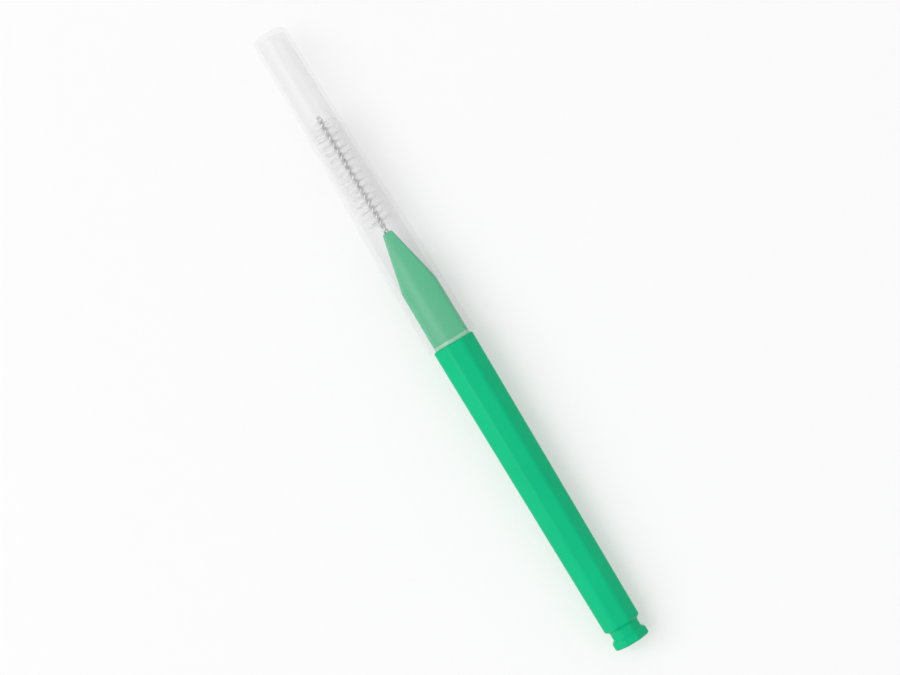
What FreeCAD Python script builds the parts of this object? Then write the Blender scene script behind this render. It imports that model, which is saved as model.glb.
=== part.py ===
import FreeCAD, Part
import math
import os

from FreeCAD import Rotation, Vector

# Interdental brush with its cap on, lying along X with the cap towards +X and the flat of its nose up.
# All sizes are in millimetres. Pieces are made about the X axis, from the foot's end at X = 0,
# and moved to the middle of the floor below the brush just before they are written.

# Handle: eight-sided grip, measured across its flats
foot_flats = 4.0
foot_length = 0.7
foot_edge = 0.15
neck_flats = 3.3
neck_length = 1.6
neck_slope = 0.35
grip_rear_flats = 4.15
grip_front_flats = 4.7
grip_length = 34.5
shoulder_edge = 0.1
grip_corner_radius = 0.55

# Tang and nose: a round bar with two flats, the tang as wide as the cap lets it be
tang_length = 6.6
tang_thickness = 2.1
nose_length = 6.9
nose_tip_wall = 0.18
nose_tip_spread = 0.15
nose_tip_edge = 0.15

# Wire: eight-sided in section, folded at the tip, both legs twisted together
wire_diameter = 0.25
wire_sides = 8
twist_pitch = 1.6
sections_per_turn = 8
fold_sections = 5
root_depth = 6.4
root_clearance = 0.02
bare_root = 0.9
bare_tip = 0.6

# Filaments: one fan of them in each half turn of the wire
fan_count = 16
filaments_per_fan = 8
filament_width = 0.08
filament_clearance = 0.02
head_diameter = 3.1

# Cap: a lip at the mouth, a barrel over the tang and nose, a narrowing throat and a slim tip
mouth_bore = 4.2
mouth_wall = 0.7
lip_height = 0.1
lip_length = 0.9
lip_edge = 0.25
barrel_bore = 4.06
barrel_wall = 0.57
throat_length = 11.0
throat_wall = 0.4
head_clearance = 0.175
tip_draft = 0.35
tip_wall = 0.4
tip_edge = 0.7
tip_room = 9.6
end_wall = 0.6
seat_clearance = 0.03
rim_clearance = 0.02

# The two legs of the wire run this far from the axis, so that a filament just fits between them
leg_radius = (wire_diameter + filament_width) / 2 + filament_clearance
core_radius = leg_radius + wire_diameter / 2
root_radius = core_radius + root_clearance

# Places along the brush
neck_at = foot_length
grip_at = neck_at + neck_length
shoulder_at = grip_at + grip_length
nose_at = shoulder_at + tang_length
nose_tip_at = nose_at + nose_length
root_end_at = nose_tip_at - root_depth
head_at = nose_tip_at + bare_root
head_end_at = head_at + fan_count * twist_pitch / 2
wire_tip_at = head_end_at + bare_tip
mouth_at = shoulder_at + rim_clearance
throat_end_at = nose_tip_at + throat_length
bore_end_at = wire_tip_at + tip_room
cap_tip_at = bore_end_at + end_wall

# Radii of the cap, from the bores and walls
throat_bore = head_diameter + 2 * head_clearance
tip_bore = throat_bore - tip_draft
mouth_radius = mouth_bore / 2 + mouth_wall
lip_radius = mouth_radius + lip_height
barrel_radius = barrel_bore / 2 + barrel_wall
throat_radius = throat_bore / 2 + throat_wall
tip_radius = tip_bore / 2 + tip_wall


def ruled_solid(outlines):
    return Part.makeLoft(outlines, True, True)


def eight_sided(x, flats):
    """Outline of the grip at x: eight flats with rounded corners between them."""
    apothem = flats / 2
    half_flat = (apothem - grip_corner_radius) * math.tan(math.pi / 8)
    corner_middle = (apothem - grip_corner_radius) / math.cos(math.pi / 8) + grip_corner_radius
    edges = []
    for side in range(8):
        turn = Rotation(Vector(1, 0, 0), side * 45)
        next_turn = Rotation(Vector(1, 0, 0), (side + 1) * 45)
        half_turn = Rotation(Vector(1, 0, 0), (side + 0.5) * 45)
        flat_start = turn.multVec(Vector(x, apothem, -half_flat))
        flat_end = turn.multVec(Vector(x, apothem, half_flat))
        corner = half_turn.multVec(Vector(x, corner_middle, 0))
        next_start = next_turn.multVec(Vector(x, apothem, -half_flat))
        edges.append(Part.LineSegment(flat_start, flat_end).toShape())
        edges.append(Part.Arc(flat_end, corner, next_start).toShape())
    return Part.Wire(edges)


def flattened_round(x, width, thickness):
    """Outline of the tang or nose at x: a circle with a flat above and below."""
    radius = width / 2
    top = thickness / 2
    side = math.sqrt(radius ** 2 - top ** 2)
    return Part.Wire([
        Part.LineSegment(Vector(x, side, top), Vector(x, -side, top)).toShape(),
        Part.Arc(Vector(x, -side, top), Vector(x, -radius, 0), Vector(x, -side, -top)).toShape(),
        Part.LineSegment(Vector(x, -side, -top), Vector(x, side, -top)).toShape(),
        Part.Arc(Vector(x, side, -top), Vector(x, radius, 0), Vector(x, side, top)).toShape(),
    ])


def seat_width(x):
    """Width of the tang or nose at x that the cap's barrel leaves room for, with the cap pushed home."""
    share = (x - mouth_at) / (nose_tip_at - mouth_at)
    return mouth_bore + share * (barrel_bore - mouth_bore) - 2 * seat_clearance


def make_handle():
    grip = ruled_solid([
        eight_sided(0, foot_flats - 2 * foot_edge),
        eight_sided(foot_edge, foot_flats),
        eight_sided(neck_at, foot_flats),
        eight_sided(neck_at + neck_slope, neck_flats),
        eight_sided(grip_at - neck_slope, neck_flats),
        eight_sided(grip_at, grip_rear_flats),
        eight_sided(shoulder_at - shoulder_edge, grip_front_flats),
        eight_sided(shoulder_at, grip_front_flats - 2 * shoulder_edge),
    ])
    tip_thickness = 2 * (root_radius + nose_tip_wall)
    tip_width = tip_thickness + nose_tip_spread
    tang_and_nose = ruled_solid([
        flattened_round(shoulder_at, seat_width(shoulder_at), tang_thickness),
        flattened_round(nose_at, seat_width(nose_at), tang_thickness),
        flattened_round(nose_tip_at - nose_tip_edge, tip_width, tip_thickness),
        flattened_round(nose_tip_at, tip_width - nose_tip_edge, tip_thickness - nose_tip_edge),
    ])
    root_bore = Part.makeCylinder(root_radius, root_depth, Vector(root_end_at, 0, 0), Vector(1, 0, 0))
    return grip.fuse(tang_and_nose).cut(root_bore).removeSplitter()


def wire_section(centre, way, outward):
    """Outline of the wire square to its way, with one of its flats turned outward."""
    across = way.cross(outward)
    corners = []
    for corner in range(wire_sides + 1):
        angle = (corner + 0.5) * 2 * math.pi / wire_sides
        corners.append(centre + (outward * math.cos(angle) + across * math.sin(angle)) * (wire_diameter / 2))
    return Part.makePolygon(corners)


def make_wire():
    """One unbroken wire: up the first leg, round the fold at the tip and back down the second leg."""
    twist = 2 * math.pi / twist_pitch
    easing = twist_pitch / 4
    start_at = root_end_at + wire_diameter / 2
    fold_at = wire_tip_at - core_radius
    ease_at = fold_at - easing

    def leg_section(x, leg):
        """Leg is 1 on the way to the tip and -1 on the way back. The twist eases off before the fold."""
        eased = max(0, x - ease_at)
        angle = twist * (x - head_at - eased ** 2 / (2 * easing))
        rise = leg_radius * twist * (1 - eased / easing)
        outward = Vector(0, math.cos(angle), math.sin(angle)) * leg
        way = Vector(leg, -rise * math.sin(angle), rise * math.cos(angle)).normalize()
        return wire_section(Vector(x, 0, 0) + outward * leg_radius, way, outward)

    def fold_section(turn):
        angle = twist * (fold_at - head_at - easing / 2)
        leg_out = Vector(0, math.cos(angle), math.sin(angle))
        outward = leg_out * math.cos(turn) + Vector(math.sin(turn), 0, 0)
        way = Vector(math.cos(turn), 0, 0) - leg_out * math.sin(turn)
        return wire_section(Vector(fold_at, 0, 0) + outward * leg_radius, way, outward)

    steps = math.ceil((fold_at - start_at) * sections_per_turn / twist_pitch)
    stations = [start_at + (fold_at - start_at) * step / steps for step in range(steps + 1)]
    up = [leg_section(x, 1) for x in stations]
    fold = [fold_section(math.pi * bend / fold_sections) for bend in range(1, fold_sections)]
    down = [leg_section(x, -1) for x in reversed(stations)]
    return ruled_solid(up + fold + down)


def make_fan(fan):
    """The filaments that one half turn of the wire grips, each turned with the twist."""
    spacing = twist_pitch / 2 / filaments_per_fan
    corner_radius = filament_width / 2 / math.cos(math.pi / 6)
    filaments = []
    for place in range(filaments_per_fan):
        x = head_at + (fan * filaments_per_fan + place + 0.5) * spacing
        corners = []
        for corner in range(7):
            angle = corner * math.pi / 3
            offset = Vector(math.cos(angle), math.sin(angle), 0) * corner_radius
            corners.append(Vector(x, 0, -head_diameter / 2) + offset)
        filament = Part.Face(Part.makePolygon(corners)).extrude(Vector(0, 0, head_diameter))
        filament.rotate(Vector(x, 0, 0), Vector(1, 0, 0), 360 * (x - head_at) / twist_pitch)
        filaments.append(filament)
    return Part.Compound(filaments)


def straight_edges(*points):
    return [Part.LineSegment(point, next_point).toShape() for point, next_point in zip(points, points[1:])]


def make_cap():
    """Turned from its half outline: over the lip, along the outside, round the tip and up the bore."""
    mouth = Vector(mouth_at, mouth_bore / 2, 0)
    tip_side = Vector(cap_tip_at - tip_edge, tip_radius, 0)
    tip_face = Vector(cap_tip_at, tip_radius - tip_edge, 0)
    half_round = tip_edge * (1 - math.sqrt(0.5))
    tip_middle = Vector(cap_tip_at - half_round, tip_radius - half_round, 0)

    edges = straight_edges(
        mouth,
        Vector(mouth_at, lip_radius - lip_edge, 0),
        Vector(mouth_at + lip_edge, lip_radius, 0),
        Vector(mouth_at + lip_length, mouth_radius, 0),
        Vector(nose_tip_at, barrel_radius, 0),
        Vector(throat_end_at, throat_radius, 0),
        tip_side,
    )
    edges.append(Part.Arc(tip_side, tip_middle, tip_face).toShape())
    edges += straight_edges(
        tip_face,
        Vector(cap_tip_at, 0, 0),
        Vector(bore_end_at, 0, 0),
        Vector(bore_end_at, tip_bore / 2, 0),
        Vector(throat_end_at, throat_bore / 2, 0),
        Vector(nose_tip_at, barrel_bore / 2, 0),
        mouth,
    )
    return Part.Face(Part.Wire(edges)).revolve(Vector(0, 0, 0), Vector(1, 0, 0), 360)


def write(node, shape):
    placed = shape.copy()
    placed.translate(Vector(-cap_tip_at / 2, 0, lip_radius))
    placed.exportStep(os.path.join("parts", node + ".step"))


os.makedirs("parts", exist_ok=True)
wire = make_wire()
write("handle", make_handle())
write("wire", wire)
write("cap", make_cap())
for fan in range(fan_count):
    write("bristle_fan_%02d" % (fan + 1), make_fan(fan))

print("capped length %.2f mm, cap %.2f mm" % (cap_tip_at, cap_tip_at - mouth_at))
print("wire tip %.2f mm past the mouth" % (wire_tip_at - mouth_at))
print("wire volume %.4f mm3, valid %s" % (wire.Volume, wire.isValid()))
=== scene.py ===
import math
import random

import bmesh
import bpy
from mathutils import Matrix, Vector


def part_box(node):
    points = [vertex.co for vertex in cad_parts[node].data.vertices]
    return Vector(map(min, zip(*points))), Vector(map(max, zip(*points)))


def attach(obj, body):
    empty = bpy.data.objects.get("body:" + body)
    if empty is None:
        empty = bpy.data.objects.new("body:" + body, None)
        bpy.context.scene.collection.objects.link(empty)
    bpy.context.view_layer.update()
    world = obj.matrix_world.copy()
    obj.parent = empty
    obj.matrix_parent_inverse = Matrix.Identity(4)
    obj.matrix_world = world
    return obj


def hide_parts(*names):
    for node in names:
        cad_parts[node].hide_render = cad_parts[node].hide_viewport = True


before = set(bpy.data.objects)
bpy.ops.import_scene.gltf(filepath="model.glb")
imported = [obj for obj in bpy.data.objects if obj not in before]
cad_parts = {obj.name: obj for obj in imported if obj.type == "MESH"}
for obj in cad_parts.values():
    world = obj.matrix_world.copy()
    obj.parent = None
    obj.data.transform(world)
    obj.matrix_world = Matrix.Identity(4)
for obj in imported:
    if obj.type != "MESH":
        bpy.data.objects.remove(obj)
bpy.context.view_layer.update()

# Handle
# One injection moulding in green plastic. Its eight-sided grip tapers back to a waisted foot, and ahead of
# the shoulder a flat tang and a wedge-shaped nose go up inside the cap. The nose holds the wire's root.
mm = 0.001
weld = 0.001 * mm
handle_low, handle_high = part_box("handle")
cap_low, cap_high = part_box("cap")
axis_height = (cap_low.z + cap_high.z) / 2
cap_mouth = cap_low.x
grip_sides = 8
foot_face_flats = 3.7 * mm
foot_flats = 4.0 * mm
neck_flats = 3.3 * mm
grip_rear_flats = 4.15 * mm
grip_front_flats = 4.7 * mm
shoulder_flats = 4.5 * mm
corner_cut = 0.23 * mm
corner_steps = 5
flat_cuts = 5
foot_edge = 0.15 * mm
foot_length = 0.55 * mm
neck_slope = 0.35 * mm
neck_length = 0.9 * mm
shoulder_edge = 0.1 * mm
rim_gap = 0.02 * mm
tang_width = 4.14 * mm
tang_thickness = 2.1 * mm
tang_length = 6.6 * mm
nose_base_share = 0.984
nose_tip_width = 1.17 * mm
nose_tip_thickness = 1.02 * mm
nose_tip_edge = 0.15 * mm
nose_soft_start = 0.1
nose_soft_steps = 4
root_bore = 0.66 * mm
root_depth = 6.4 * mm
moulded_edge = 0.06 * mm
moulded_edge_steps = 3
moulded_edge_angle = math.radians(25)
handle_crease = math.radians(40)
handle_green = (0.003, 0.52, 0.235, 1)
handle_deep_green = (0.002, 0.46, 0.2, 1)
handle_index = 1.49
handle_specular = 0.11
handle_relief = 0.01 * mm


def open_ring(mesh):
    return [edge for edge in mesh.edges if edge.is_boundary]


def draw_out(mesh, reach, grow_y=1, grow_z=1):
    """Draws the open end of a tube along the brush, resizes it about the axis and gives its new corners."""
    drawn = bmesh.ops.extrude_edge_only(mesh, edges=open_ring(mesh))["geom"]
    ring = [item for item in drawn if isinstance(item, bmesh.types.BMVert)]
    about_axis = Matrix.Translation((0, 0, -axis_height))
    bmesh.ops.scale(mesh, verts=ring, vec=(1, grow_y, grow_z), space=about_axis)
    bmesh.ops.translate(mesh, verts=ring, vec=(reach, 0, 0))
    return ring


def make_round(ring, width, thickness):
    """Brings the corners of an end onto a circle about the axis, with flats above and below it."""
    for corner in ring:
        spoke = Vector((0, corner.co.y, corner.co.z - axis_height)).normalized() * (width / 2)
        corner.co.y = spoke.y
        corner.co.z = axis_height + max(-thickness / 2, min(thickness / 2, spoke.z))


def nose_taper(share):
    """How much of the nose's taper is reached at a share of its length. It starts softly from the tang."""
    if share < nose_soft_start:
        return share ** 2 / (2 * nose_soft_start) / (1 - nose_soft_start / 2)
    return (share - nose_soft_start / 2) / (1 - nose_soft_start / 2)


def finish_piece(mesh, name, body, replaced, material, crease):
    """Puts a mesh in the scene as a smooth piece that rides on a body and stands for CAD nodes."""
    bmesh.ops.recalc_face_normals(mesh, faces=mesh.faces)
    data = bpy.data.meshes.new(name)
    mesh.to_mesh(data)
    mesh.free()
    data.shade_smooth()
    data.set_sharp_from_angle(angle=crease)
    data.materials.append(material)
    piece = bpy.data.objects.new(name, data)
    bpy.context.scene.collection.objects.link(piece)
    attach(piece, body)
    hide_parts(*replaced)
    return piece


def new_material(name):
    """A material with its tree, its main shader and the object coordinates that its patterns read."""
    material = bpy.data.materials.new(name)
    material.use_nodes = True
    tree = material.node_tree
    place = tree.nodes.new("ShaderNodeTexCoord").outputs["Object"]
    return material, tree, tree.nodes["Principled BSDF"], place


def add_node(tree, kind, inputs, **settings):
    """A node with its settings and inputs. An input is a number, a colour or another node's output."""
    node = tree.nodes.new("ShaderNode" + kind)
    for setting, value in settings.items():
        setattr(node, setting, value)
    for socket, value in inputs.items():
        if isinstance(value, bpy.types.NodeSocket):
            tree.links.new(value, node.inputs[socket])
        else:
            node.inputs[socket].default_value = value
    return node


def pattern(tree, place, grains, detail, stretch=(1, 1, 1)):
    """Soft noise with this many grains to the metre, drawn out along the axes where stretch is small."""
    drawn = add_node(tree, "Mapping", {"Vector": place, "Scale": stretch}).outputs["Vector"]
    noise = add_node(tree, "TexNoise", {"Vector": drawn, "Scale": grains, "Detail": detail})
    return noise.outputs["Fac"]


def spread(tree, noise, low, high):
    """Maps the middle of a noise pattern, where nearly all of it lies, to the range from low to high."""
    middle_part = {"From Min": 0.3, "From Max": 0.7}
    mapped = add_node(tree, "MapRange", {"Value": noise, "To Min": low, "To Max": high, **middle_part})
    return mapped.outputs["Result"]


def blend_colours(tree, share, first, second):
    mix = add_node(tree, "Mix", {"Factor": share, "A": first, "B": second}, data_type="RGBA")
    return mix.outputs["Result"]


def calculate(tree, operation, first, second):
    return add_node(tree, "Math", {0: first, 1: second}, operation=operation).outputs["Value"]


def raise_surface(tree, height, strength, depth):
    bump = add_node(tree, "Bump", {"Height": height, "Strength": strength, "Distance": depth})
    return bump.outputs["Normal"]


def green_plastic():
    """Smooth moulding with faint flow streaks along the grip, a fine grain and clouds of deeper green."""
    material, tree, shader, place = new_material("green_plastic")
    streaks = pattern(tree, place, grains=900, detail=4, stretch=(0.06, 1, 1))
    grain = pattern(tree, place, grains=9000, detail=5)
    clouds = pattern(tree, place, grains=160, detail=2)
    colour = blend_colours(tree, clouds, handle_green, handle_deep_green)
    height = calculate(tree, "ADD", streaks, grain)
    relief = raise_surface(tree, height, strength=0.25, depth=handle_relief)
    tree.links.new(colour, shader.inputs["Base Color"])
    tree.links.new(spread(tree, streaks, low=0.3, high=0.42), shader.inputs["Roughness"])
    tree.links.new(relief, shader.inputs["Normal"])
    shader.inputs["IOR"].default_value = handle_index
    shader.inputs["Specular IOR Level"].default_value = handle_specular
    return material


# The foot's face has rounded corners, and its flats are cut into short edges that can turn into a round
handle_mesh = bmesh.new()
at_foot = (
    Matrix.Translation((handle_low.x, 0, axis_height))
    @ Matrix.Rotation(math.pi / 2, 4, "Y")
    @ Matrix.Rotation(math.pi / grip_sides, 4, "Z")
)
foot_corner_radius = foot_face_flats / 2 / math.cos(math.pi / grip_sides)
foot_face = bmesh.ops.create_circle(
    handle_mesh, cap_ends=True, segments=grip_sides, radius=foot_corner_radius, matrix=at_foot
)
bmesh.ops.bevel(
    handle_mesh, geom=foot_face["verts"], offset=corner_cut, offset_type="OFFSET", affect="VERTICES",
    segments=corner_steps, profile=0.5, material=-1
)
flat_edges = [edge for edge in handle_mesh.edges if edge.calc_length() > corner_cut]
bmesh.ops.subdivide_edges(handle_mesh, edges=flat_edges, cuts=flat_cuts)

# Foot, neck, grip and shoulder: how far each step is drawn out, and the width across the flats at its end
grip_rear = handle_low.x + foot_edge + foot_length + 2 * neck_slope + neck_length
shoulder = cap_mouth - rim_gap
flats_now = foot_face_flats
for reach, flats in (
    (foot_edge, foot_flats),
    (foot_length, foot_flats),
    (neck_slope, neck_flats),
    (neck_length, neck_flats),
    (neck_slope, grip_rear_flats),
    (shoulder - shoulder_edge - grip_rear, grip_front_flats),
    (shoulder_edge, shoulder_flats),
):
    draw_out(handle_mesh, reach, flats / flats_now, flats / flats_now)
    flats_now = flats

# Tang and nose, and then back into the nose for the bore that holds the root of the wire
make_round(draw_out(handle_mesh, 0), tang_width, tang_thickness)
draw_out(handle_mesh, tang_length, grow_y=nose_base_share)
nose_length = handle_high.x - shoulder - tang_length - nose_tip_edge
nose_base_width = tang_width * nose_base_share
share_now, width_now, thickness_now = 0, nose_base_width, tang_thickness
soft_shares = [nose_soft_start * step / nose_soft_steps for step in range(1, nose_soft_steps + 1)]
for share in soft_shares + [1]:
    width = nose_base_width + (nose_tip_width - nose_base_width) * nose_taper(share)
    thickness = tang_thickness + (nose_tip_thickness - tang_thickness) * nose_taper(share)
    draw_out(handle_mesh, (share - share_now) * nose_length, width / width_now, thickness / thickness_now)
    share_now, width_now, thickness_now = share, width, thickness
draw_out(
    handle_mesh, nose_tip_edge, grow_y=1 - nose_tip_edge / nose_tip_width,
    grow_z=1 - nose_tip_edge / nose_tip_thickness
)
make_round(draw_out(handle_mesh, 0), root_bore, root_bore)
draw_out(handle_mesh, -root_depth)
bmesh.ops.contextual_create(handle_mesh, geom=open_ring(handle_mesh))
bmesh.ops.recalc_face_normals(handle_mesh, faces=handle_mesh.faces)

# The moulded edges are rounded, and the flat ends are fanned from their middles so that no sliver is left
moulded_edges = [edge for edge in handle_mesh.edges if edge.calc_face_angle() > moulded_edge_angle]
bmesh.ops.bevel(
    handle_mesh, geom=moulded_edges, offset=moulded_edge, offset_type="OFFSET", affect="EDGES",
    segments=moulded_edge_steps, profile=0.5, material=-1, clamp_overlap=True
)
end_faces = [face for face in handle_mesh.faces if len(face.verts) > grip_sides]
bmesh.ops.poke(handle_mesh, faces=end_faces)
bmesh.ops.dissolve_degenerate(handle_mesh, dist=weld, edges=handle_mesh.edges)
finish_piece(
    handle_mesh, "handle_moulding", "brush", ["handle"], green_plastic(), handle_crease
)

# Wire
# One length of thin stainless wire, folded in two at the tip and twisted on itself. The twist grips the
# filaments, and the two cut ends are sunk in the nose.
wire_low, wire_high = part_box("wire")
wire_diameter = 0.25 * mm
leg_radius = 0.185 * mm
twist_pitch = 1.6 * mm
bare_root = 0.9 * mm
end_inset = 0.07 * mm
points_per_turn = 20
fold_points = 8
wire_roundness = 3
wire_crease = math.radians(50)
steel_bright = (0.78, 0.78, 0.79, 1)
steel_dull = (0.6, 0.6, 0.61, 1)
steel_relief = 0.004 * mm

head_start = handle_high.x + bare_root
twist = 2 * math.pi / twist_pitch
easing = twist_pitch / 4
wire_start = wire_low.x + end_inset
fold_centre = wire_high.x - leg_radius - wire_diameter / 2


def leg_direction(x):
    """Which way the first leg lies from the axis at x. The twist eases off just before the fold."""
    eased = max(0, x - (fold_centre - easing))
    angle = twist * (x - head_start - eased ** 2 / (2 * easing))
    return Vector((0, math.cos(angle), math.sin(angle)))


def wire_line():
    """Points along the wire: up the first leg, round the fold and back down the second leg."""
    steps = math.ceil((fold_centre - wire_start) * points_per_turn / twist_pitch)
    stations = [wire_start + (fold_centre - wire_start) * step / steps for step in range(steps + 1)]
    first_leg = [Vector((x, 0, axis_height)) + leg_direction(x) * leg_radius for x in stations]
    second_leg = [Vector((x, 0, axis_height)) - leg_direction(x) * leg_radius for x in reversed(stations)]
    fold = []
    for place in range(1, fold_points):
        turn = math.pi * place / fold_points
        bend = leg_direction(fold_centre) * math.cos(turn) + Vector((math.sin(turn), 0, 0))
        fold.append(Vector((fold_centre, 0, axis_height)) + bend * leg_radius)
    return first_leg + fold + second_leg


def drawn_steel():
    """Bright drawn wire, with fine lines along it and a little dullness in patches."""
    material, tree, shader, place = new_material("drawn_steel")
    lines = pattern(tree, place, grains=14000, detail=4, stretch=(0.15, 1, 1))
    patches = pattern(tree, place, grains=1500, detail=2)
    tree.links.new(blend_colours(tree, patches, steel_bright, steel_dull), shader.inputs["Base Color"])
    relief = raise_surface(tree, lines, strength=0.2, depth=steel_relief)
    tree.links.new(spread(tree, lines, low=0.22, high=0.4), shader.inputs["Roughness"])
    tree.links.new(relief, shader.inputs["Normal"])
    shader.inputs["Metallic"].default_value = 1.0
    return material


# The wire is a round curve along its line, made a mesh, after which the curve is taken out again
curve = bpy.data.curves.new("wire_line", "CURVE")
curve.dimensions = "3D"
curve.bevel_depth = wire_diameter / 2
curve.bevel_resolution = wire_roundness
curve.use_fill_caps = True
points = wire_line()
spline = curve.splines.new("POLY")
spline.points.add(len(points) - 1)
for spline_point, point in zip(spline.points, points):
    spline_point.co = (*point, 1)
curve_object = bpy.data.objects.new("wire_line", curve)
bpy.context.scene.collection.objects.link(curve_object)
round_curve = curve_object.evaluated_get(bpy.context.evaluated_depsgraph_get())
wire_mesh = bmesh.new()
wire_mesh.from_mesh(bpy.data.meshes.new_from_object(round_curve))
bpy.data.objects.remove(curve_object)
bmesh.ops.remove_doubles(wire_mesh, verts=wire_mesh.verts, dist=weld)
finish_piece(wire_mesh, "twisted_wire", "brush", ["wire"], drawn_steel(), wire_crease)

# Filaments
# Fine white nylon filaments, laid across the folded wire and pinched at their middles by its twist, so that
# they stand out in a close spiral. The head is then trimmed to an even width. Each half turn is one fan.
fan_count = 16
filaments_per_fan = 22
filament_width = 0.05 * mm
thinnest_share = 0.85
thickest_share = 1.1
filament_sides = 5
filament_joints = 4
head_radius = 1.54 * mm
trim_scatter = 0.04 * mm
splay = math.radians(24)
whirl = math.radians(9)
lean = 0.07
curl = 0.1
filament_crease = math.radians(60)
nylon_white = (0.95, 0.95, 0.95, 1)
nylon_grey = (0.86, 0.86, 0.87, 1)
nylon_index = 1.45
filament_seed = 7
chance = random.Random(filament_seed)


def white_nylon():
    """White nylon with a slight sheen, a little uneven from filament to filament."""
    material, tree, shader, place = new_material("white_nylon")
    tone = pattern(tree, place, grains=2500, detail=3)
    tree.links.new(blend_colours(tree, tone, nylon_white, nylon_grey), shader.inputs["Base Color"])
    tree.links.new(spread(tree, tone, low=0.3, high=0.5), shader.inputs["Roughness"])
    shader.inputs["IOR"].default_value = nylon_index
    return material


def filament_line(x):
    """Points from one trimmed end of a filament, through the twist of the wire at x, to its other end."""
    turn = twist * (x - head_start) + chance.uniform(-splay, splay)
    slant = chance.uniform(-lean, lean)
    first_bend = chance.uniform(-curl, curl)
    second_bend = chance.uniform(-curl, curl)
    reach = head_radius - chance.uniform(0, trim_scatter)
    line = []
    for joint in range(-filament_joints, filament_joints + 1):
        out = joint / filament_joints
        bend = first_bend if out < 0 else second_bend
        spoke = Matrix.Rotation(turn + whirl * out ** 2, 3, "X") @ Vector((0, 0, out * reach))
        line.append(spoke + Vector((x + (slant * out + bend * out ** 2) * reach, 0, axis_height)))
    return line, turn


def add_filament(mesh, x):
    """One filament as a slim closed rod, drawn along its line."""
    line, turn = filament_line(x)
    at_end = Matrix.Translation(line[0]) @ Matrix.Rotation(turn, 4, "X")
    radius = filament_width / 2 * chance.uniform(thinnest_share, thickest_share)
    end_face = bmesh.ops.create_circle(
        mesh, cap_ends=True, segments=filament_sides, radius=radius, matrix=at_end
    )
    edges = end_face["verts"][0].link_faces[0].edges[:]
    for point, next_point in zip(line, line[1:]):
        drawn = bmesh.ops.extrude_edge_only(mesh, edges=edges)["geom"]
        ring = {item for item in drawn if isinstance(item, bmesh.types.BMVert)}
        drawn_edges = [item for item in drawn if isinstance(item, bmesh.types.BMEdge)]
        edges = [edge for edge in drawn_edges if ring.issuperset(edge.verts)]
        bmesh.ops.translate(mesh, verts=list(ring), vec=next_point - point)
    bmesh.ops.contextual_create(mesh, geom=edges)


nylon = white_nylon()
spacing = twist_pitch / 2 / filaments_per_fan
for fan in range(fan_count):
    fan_mesh = bmesh.new()
    for number in range(filaments_per_fan):
        add_filament(fan_mesh, head_start + (fan * filaments_per_fan + number + 0.5) * spacing)
    piece_name = "filaments_%02d" % (fan + 1)
    node = "bristle_fan_%02d" % (fan + 1)
    finish_piece(fan_mesh, piece_name, "brush", [node], nylon, filament_crease)

# Cap
# One moulding in thin, frosted, see-through plastic, closed at its slim tip and with a beaded lip round its
# mouth. It is pushed over the tang, which its barrel grips, until the lip meets the shoulder of the handle.
lip_radius = (cap_high.z - cap_low.z) / 2
mouth_radius = 2.8 * mm
mouth_bore_radius = 2.1 * mm
lip_length = 0.9 * mm
lip_edge = 0.25 * mm
barrel_end = handle_high.x
barrel_radius = 2.6 * mm
barrel_bore_radius = 2.03 * mm
throat_length = 11 * mm
throat_end = barrel_end + throat_length
throat_radius = 2.125 * mm
throat_bore_radius = 1.725 * mm
tip_radius = 1.95 * mm
tip_bore_radius = 1.55 * mm
tip_edge = 0.7 * mm
end_wall = 0.6 * mm
soft_bend = 2.4 * mm
bend_steps = 6
turning_steps = 96
cap_crease = math.radians(35)
cap_white = (0.715, 0.687, 0.7, 1)
cap_veil = 0.097
rim_width = 0.4 * mm
# The rim's whiter, less see-through plastic is a painted highlight, and stands in for the denser look of
# the wall seen end on
rim_painted_highlight = (0.95, 0.955, 0.96, 1)
rim_painted_highlight_veil = 0.2
frost_relief = 0.005 * mm
frost_index = 1.9


def frosted_plastic(name, colour, veil):
    """Thin milky plastic: what is behind it shows through its veil, and its surface has a fine grain.

    The veil thins the sheen as well, so the index is above the plastic's own to keep the sheen in view."""
    material, tree, shader, place = new_material(name)
    grain = pattern(tree, place, grains=6000, detail=5)
    streaks = pattern(tree, place, grains=700, detail=3, stretch=(0.08, 1, 1))
    relief = raise_surface(tree, grain, strength=0.08, depth=frost_relief)
    tree.links.new(spread(tree, streaks, low=0.2, high=0.32), shader.inputs["Roughness"])
    tree.links.new(relief, shader.inputs["Normal"])
    shader.inputs["Base Color"].default_value = colour
    shader.inputs["Alpha"].default_value = veil
    shader.inputs["IOR"].default_value = frost_index
    return material


# Half of the cap's outline, from the mouth round the tip and back along the bore: place, radius, rounding
outline = [
    (cap_mouth, mouth_bore_radius, lip_edge / 2),
    (cap_mouth, lip_radius, lip_edge),
    (cap_mouth + lip_length, mouth_radius, lip_edge),
    (barrel_end, barrel_radius, soft_bend),
    (throat_end, throat_radius, soft_bend),
    (cap_high.x, tip_radius, tip_edge),
    (cap_high.x, 0, 0),
    (cap_high.x - end_wall, 0, 0),
    (cap_high.x - end_wall, tip_bore_radius, tip_edge / 2),
    (throat_end, throat_bore_radius, soft_bend),
    (barrel_end, barrel_bore_radius, soft_bend),
]
cap_mesh = bmesh.new()
corners = [cap_mesh.verts.new((x, 0, axis_height + radius)) for x, radius, rounding in outline]
for corner, next_corner in zip(corners, corners[1:] + corners[:1]):
    if corner.co.z > axis_height or next_corner.co.z > axis_height:
        cap_mesh.edges.new((corner, next_corner))
for corner, (x, radius, rounding) in zip(corners, outline):
    if rounding > 0:
        bmesh.ops.bevel(
            cap_mesh, geom=[corner], offset=rounding, offset_type="OFFSET", affect="VERTICES",
            segments=bend_steps, profile=0.5, material=-1
        )
bmesh.ops.spin(
    cap_mesh, geom=cap_mesh.verts[:] + cap_mesh.edges[:], cent=(0, 0, axis_height), axis=(1, 0, 0),
    angle=2 * math.pi, steps=turning_steps, use_merge=True
)
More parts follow.
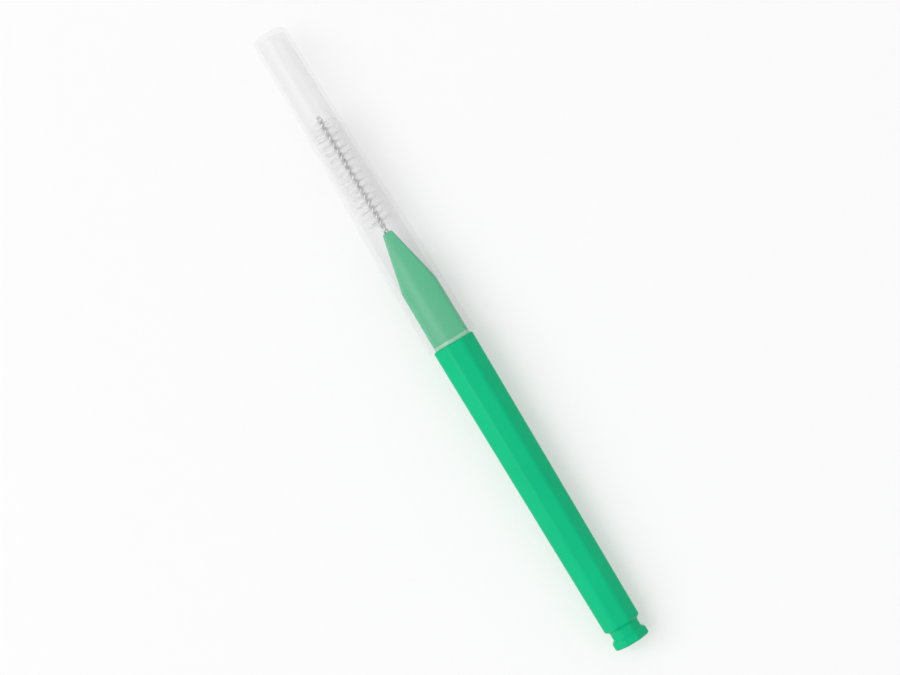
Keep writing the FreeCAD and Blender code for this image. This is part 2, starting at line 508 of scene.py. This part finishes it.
bmesh.ops.remove_doubles(cap_mesh, verts=cap_mesh.verts, dist=weld)

# At the rim of the mouth the wall is seen end on. A whiter, less see-through material of its own stands in
# for its denser look there, and is a painted highlight where the edge catches the light
rim_end = cap_mouth + rim_width
bmesh.ops.bisect_plane(
    cap_mesh, geom=cap_mesh.verts[:] + cap_mesh.edges[:] + cap_mesh.faces[:], plane_co=(rim_end, 0, 0),
    plane_no=(1, 0, 0)
)
for face in cap_mesh.faces:
    if face.calc_center_median().x < rim_end:
        face.material_index = 1
cap_plastic = frosted_plastic("frosted_plastic", cap_white, cap_veil)
cap = finish_piece(cap_mesh, "cap_moulding", "cap", ["cap"], cap_plastic, cap_crease)
cap.data.materials.append(frosted_plastic("frosted_rim_painted_highlight", rim_painted_highlight, rim_painted_highlight_veil))

# Floor
# A plain white card that the brush lies on. It touches the lip of the cap and the rear edge of the grip,
# so it is turned by the small slope between those two.
floor_half = 1.5
floor_cells = 8
card_white = (0.94, 0.94, 0.94, 1)
card_shade = (0.925, 0.925, 0.928, 1)
card_specular = 0.1
plain_white = 0.975
plain_white_share = 0.4
floor_slope = math.atan2(axis_height - grip_rear_flats / 2, cap_mouth - grip_rear)


def white_card():
    """Matt card. Where it is looked at, a share of it is plain white, so that its shadow stays faint."""
    material, tree, shader, place = new_material("white_card")
    fibre = pattern(tree, place, grains=400, detail=4)
    tree.links.new(blend_colours(tree, fibre, card_white, card_shade), shader.inputs["Base Color"])
    tree.links.new(spread(tree, fibre, low=0.7, high=0.85), shader.inputs["Roughness"])
    shader.inputs["Specular IOR Level"].default_value = card_specular
    rays = add_node(tree, "LightPath", {}).outputs
    mirrored = calculate(tree, "MAXIMUM", rays["Is Glossy Ray"], rays["Is Transmission Ray"])
    seen = calculate(tree, "MAXIMUM", rays["Is Camera Ray"], mirrored)
    share = calculate(tree, "MULTIPLY", seen, plain_white_share)
    plain = add_node(tree, "Emission", {"Color": (1, 1, 1, 1), "Strength": plain_white}).outputs["Emission"]
    both = add_node(tree, "MixShader", {0: share, 1: shader.outputs["BSDF"], 2: plain}).outputs["Shader"]
    tree.links.new(both, tree.nodes["Material Output"].inputs["Surface"])
    return material


floor_mesh = bmesh.new()
lie_down = Matrix.Translation((cap_mouth, 0, 0)) @ Matrix.Rotation(floor_slope, 4, "Y")
bmesh.ops.create_grid(
    floor_mesh, x_segments=floor_cells, y_segments=floor_cells, size=floor_half, matrix=lie_down
)
floor_data = bpy.data.meshes.new("floor")
floor_mesh.to_mesh(floor_data)
floor_mesh.free()
floor_data.materials.append(white_card())
floor = bpy.data.objects.new("floor", floor_data)
bpy.context.scene.collection.objects.link(floor)

# Light
# Plain soft studio light: an even white surround, and a large soft lamp high above one side of the brush,
# which tells the flats of the grip apart.
surround_strength = 0.66
lamp_power = 9.5
lamp_size = 1.0
lamp_place = Vector((0.29, 0.74, 1.03))

world = bpy.data.worlds.new("surround")
world.use_nodes = True
world.node_tree.nodes["Background"].inputs["Color"].default_value = (1, 1, 1, 1)
world.node_tree.nodes["Background"].inputs["Strength"].default_value = surround_strength
bpy.context.scene.world = world

lamp = bpy.data.lights.new("soft_lamp", "AREA")
lamp.size = lamp_size
lamp.energy = lamp_power
lamp_object = bpy.data.objects.new("soft_lamp", lamp)
lamp_object.location = lamp_place
lamp_object.rotation_euler = lamp_place.to_track_quat("Z", "Y").to_euler()
bpy.context.scene.collection.objects.link(lamp_object)

# Camera
# Straight above the brush with a long lens, turned so that the tip of the cap points up and to the left.
lens_length = 100
sensor_width = 36
view_width = 95 * mm
nearest_seen = 10 * mm
lean_from_upright = math.radians(31)

camera = bpy.data.cameras.new("camera")
camera.lens = lens_length
camera.sensor_width = sensor_width
camera.clip_start = nearest_seen
camera_object = bpy.data.objects.new("camera", camera)
camera_object.location = (0, 0, axis_height + view_width * lens_length / sensor_width)
camera_object.rotation_euler = (0, 0, -math.pi / 2 - lean_from_upright)
bpy.context.scene.collection.objects.link(camera_object)
bpy.context.scene.camera = camera_object
bpy.context.scene.view_settings.view_transform = "Standard"
